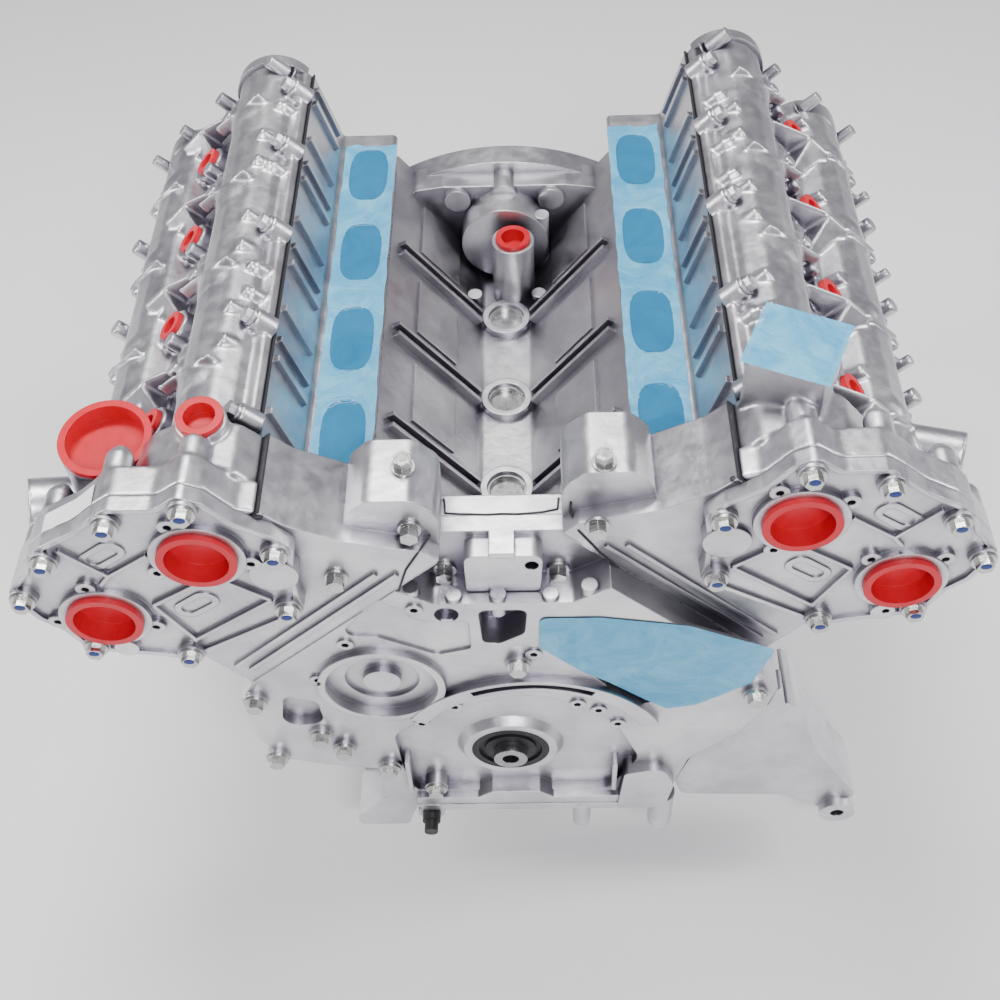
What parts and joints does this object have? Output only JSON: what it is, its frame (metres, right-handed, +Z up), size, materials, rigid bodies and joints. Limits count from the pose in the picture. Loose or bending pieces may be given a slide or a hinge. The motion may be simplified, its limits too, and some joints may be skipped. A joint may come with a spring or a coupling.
{
  "type": "v8 engine",
  "caption": "Aluminium V8 long block with twin camshafts on each bank, cam covers, crank train, chain drive and sump, its ports closed by transit plugs and film.",
  "frame": {"origin": "crank axis at the face of the front crank seal", "axes": "+Y along the crank to the gearbox end, +Z up, +X to the right bank seen from the front; the banks lean 45 degrees each side of +Z"},
  "size_m": [0.7182, 0.5693, 0.5839],
  "materials": {
    "cast_aluminium": "sand-cast grain, machined on its faces",
    "forged_steel": "ground on the journals",
    "grey_iron": "as cast",
    "pressed_steel": "pressed sheet",
    "zinc_steel": "zinc plated",
    "painted_sheet": "black paint",
    "dark_sealant": "cured bead",
    "black_rubber": "matt",
    "black_plastic": "moulded",
    "red_plastic": "moulded, slightly glossy",
    "blue_film": "translucent wrinkled film"
  },
  "bodies": {
    "engine": {"cam_bearing_bridges": "cast_aluminium", "cam_cover_bolts": "cast_aluminium", "cam_cover_left": "cast_aluminium", "cam_cover_right": "cast_aluminium", "cam_cover_seams": "dark_sealant", "cam_end_cover_left": "cast_aluminium", "cam_end_cover_right": "cast_aluminium", "cam_port_plugs": "red_plastic", "core_plugs": "pressed_steel", "cover_bolts": "zinc_steel", "cylinder_block": "cast_aluminium", "cylinder_head_left": "cast_aluminium", "cylinder_head_right": "cast_aluminium", "drain_plug": "zinc_steel", "end_cover_bolts": "zinc_steel", "engine_bracket": "cast_aluminium", "exhaust_valves": "forged_steel", "filler_plug": "red_plastic", "front_crank_seal": "black_rubber", "head_gaskets": "pressed_steel", "intake_port_film_left": "blue_film", "intake_port_film_right": "blue_film", "intake_valves": "forged_steel", "main_bearing_caps": "grey_iron", "oil_level_sensor": "black_plastic", "oil_pan_lower": "painted_sheet", "oil_pan_upper": "cast_aluminium", "oil_pump": "cast_aluminium", "pump_pad_film": "blue_film", "rear_crank_seal": "black_rubber", "small_port_plugs": "red_plastic", "spark_well_plugs": "red_plastic", "timing_chains": "forged_steel", "timing_cover": "cast_aluminium", "valve_tappets": "forged_steel", "water_port_film": "blue_film"},
    "crank": {"crankshaft": "forged_steel"},
    "camshaft_intake_left": {"camshaft_intake_left": "forged_steel"},
    "camshaft_exhaust_left": {"camshaft_exhaust_left": "forged_steel"},
    "camshaft_intake_right": {"camshaft_intake_right": "forged_steel"},
    "camshaft_exhaust_right": {"camshaft_exhaust_right": "forged_steel"},
    "piston_left_1": {"piston_left_1": "cast_aluminium"},
    "rod_left_1": {"rod_left_1": "forged_steel"},
    "piston_left_2": {"piston_left_2": "cast_aluminium"},
    "rod_left_2": {"rod_left_2": "forged_steel"},
    "piston_left_3": {"piston_left_3": "cast_aluminium"},
    "rod_left_3": {"rod_left_3": "forged_steel"},
    "piston_left_4": {"piston_left_4": "cast_aluminium"},
    "rod_left_4": {"rod_left_4": "forged_steel"},
    "piston_right_1": {"piston_right_1": "cast_aluminium"},
    "rod_right_1": {"rod_right_1": "forged_steel"},
    "piston_right_2": {"piston_right_2": "cast_aluminium"},
    "rod_right_2": {"rod_right_2": "forged_steel"},
    "piston_right_3": {"piston_right_3": "cast_aluminium"},
    "rod_right_3": {"rod_right_3": "forged_steel"},
    "piston_right_4": {"piston_right_4": "cast_aluminium"},
    "rod_right_4": {"rod_right_4": "forged_steel"}
  },
  "joints": [
    {"name": "crank_spin", "type": "hinge", "parent": "engine", "child": "crank", "pos_m": [0, 0, 0], "axis": [0, 1, 0], "continuous": true, "deforming": ["rod_left_1", "rod_left_2", "rod_left_3", "rod_left_4", "rod_right_1", "rod_right_2", "rod_right_3", "rod_right_4", "valve_tappets"]},
    {"name": "cam_intake_left_spin", "type": "hinge", "parent": "engine", "child": "camshaft_intake_left", "pos_m": [-0.20435, 0.1, 0.29769], "axis": [0, 1, 0], "continuous": true},
    {"name": "cam_exhaust_left_spin", "type": "hinge", "parent": "engine", "child": "camshaft_exhaust_left", "pos_m": [-0.28426, 0.1, 0.22627], "axis": [0, 1, 0], "continuous": true},
    {"name": "cam_intake_right_spin", "type": "hinge", "parent": "engine", "child": "camshaft_intake_right", "pos_m": [0.20435, 0.1, 0.29769], "axis": [0, 1, 0], "continuous": true},
    {"name": "cam_exhaust_right_spin", "type": "hinge", "parent": "engine", "child": "camshaft_exhaust_right", "pos_m": [0.28426, 0.1, 0.22627], "axis": [0, 1, 0], "continuous": true},
    {"name": "piston_left_1_slide", "type": "slide", "parent": "engine", "child": "piston_left_1", "axis": [-0.7071, 0, 0.7071], "range_m": [-0.083, 0]},
    {"name": "rod_left_1_swing", "type": "hinge", "parent": "piston_left_1", "child": "rod_left_1", "pos_m": [-0.13435, 0.1285, 0.13435], "axis": [0, 1, 0], "range_deg": [-16.23, 16.23]},
    {"name": "piston_left_2_slide", "type": "slide", "parent": "engine", "child": "piston_left_2", "axis": [-0.7071, 0, 0.7071], "range_m": [-0.03558, 0.04742]},
    {"name": "rod_left_2_swing", "type": "hinge", "parent": "piston_left_2", "child": "rod_left_2", "pos_m": [-0.10082, 0.234, 0.10082], "axis": [0, 1, 0], "range_deg": [0, 32.46]},
    {"name": "piston_left_3_slide", "type": "slide", "parent": "engine", "child": "piston_left_3", "axis": [-0.7071, 0, 0.7071], "range_m": [-0.03558, 0.04742]},
    {"name": "rod_left_3_swing", "type": "hinge", "parent": "piston_left_3", "child": "rod_left_3", "pos_m": [-0.10082, 0.3395, 0.10082], "axis": [0, 1, 0], "range_deg": [-32.46, 0]},
    {"name": "piston_left_4_slide", "type": "slide", "parent": "engine", "child": "piston_left_4", "axis": [-0.7071, 0, 0.7071], "range_m": [0, 0.083]},
    {"name": "rod_left_4_swing", "type": "hinge", "parent": "piston_left_4", "child": "rod_left_4", "pos_m": [-0.07566, 0.445, 0.07566], "axis": [0, 1, 0], "range_deg": [-16.23, 16.23]},
    {"name": "piston_right_1_slide", "type": "slide", "parent": "engine", "child": "piston_right_1", "axis": [0.7071, 0, 0.7071], "range_m": [-0.03558, 0.04742]},
    {"name": "rod_right_1_swing", "type": "hinge", "parent": "piston_right_1", "child": "rod_right_1", "pos_m": [0.10082, 0.1505, 0.10082], "axis": [0, 1, 0], "range_deg": [-32.46, 0]},
    {"name": "piston_right_2_slide", "type": "slide", "parent": "engine", "child": "piston_right_2", "axis": [0.7071, 0, 0.7071], "range_m": [-0.083, 0]},
    {"name": "rod_right_2_swing", "type": "hinge", "parent": "piston_right_2", "child": "rod_right_2", "pos_m": [0.13435, 0.256, 0.13435], "axis": [0, 1, 0], "range_deg": [-16.23, 16.23]},
    {"name": "piston_right_3_slide", "type": "slide", "parent": "engine", "child": "piston_right_3", "axis": [0.7071, 0, 0.7071], "range_m": [0, 0.083]},
    {"name": "rod_right_3_swing", "type": "hinge", "parent": "piston_right_3", "child": "rod_right_3", "pos_m": [0.07566, 0.3615, 0.07566], "axis": [0, 1, 0], "range_deg": [-16.23, 16.23]},
    {"name": "piston_right_4_slide", "type": "slide", "parent": "engine", "child": "piston_right_4", "axis": [0.7071, 0, 0.7071], "range_m": [-0.03558, 0.04742]},
    {"name": "rod_right_4_swing", "type": "hinge", "parent": "piston_right_4", "child": "rod_right_4", "pos_m": [0.10082, 0.467, 0.10082], "axis": [0, 1, 0], "range_deg": [0, 32.46]}
  ],
  "couplings": [
    {"joint": "cam_intake_left_spin", "follows": "crank_spin", "ratio": 0.5},
    {"joint": "cam_exhaust_left_spin", "follows": "crank_spin", "ratio": 0.5},
    {"joint": "cam_intake_right_spin", "follows": "crank_spin", "ratio": 0.5},
    {"joint": "cam_exhaust_right_spin", "follows": "crank_spin", "ratio": 0.5},
    {"joint": "piston_right_1_slide", "follows": "piston_left_3_slide", "ratio": 1},
    {"joint": "rod_right_1_swing", "follows": "rod_left_3_swing", "ratio": 1},
    {"joint": "piston_right_2_slide", "follows": "piston_left_1_slide", "ratio": 1},
    {"joint": "rod_right_2_swing", "follows": "rod_left_1_swing", "ratio": 1},
    {"joint": "piston_right_3_slide", "follows": "piston_left_4_slide", "ratio": 1},
    {"joint": "rod_right_3_swing", "follows": "rod_left_4_swing", "ratio": 1},
    {"joint": "piston_right_4_slide", "follows": "piston_left_2_slide", "ratio": 1},
    {"joint": "rod_right_4_swing", "follows": "rod_left_2_swing", "ratio": 1}
  ]
}
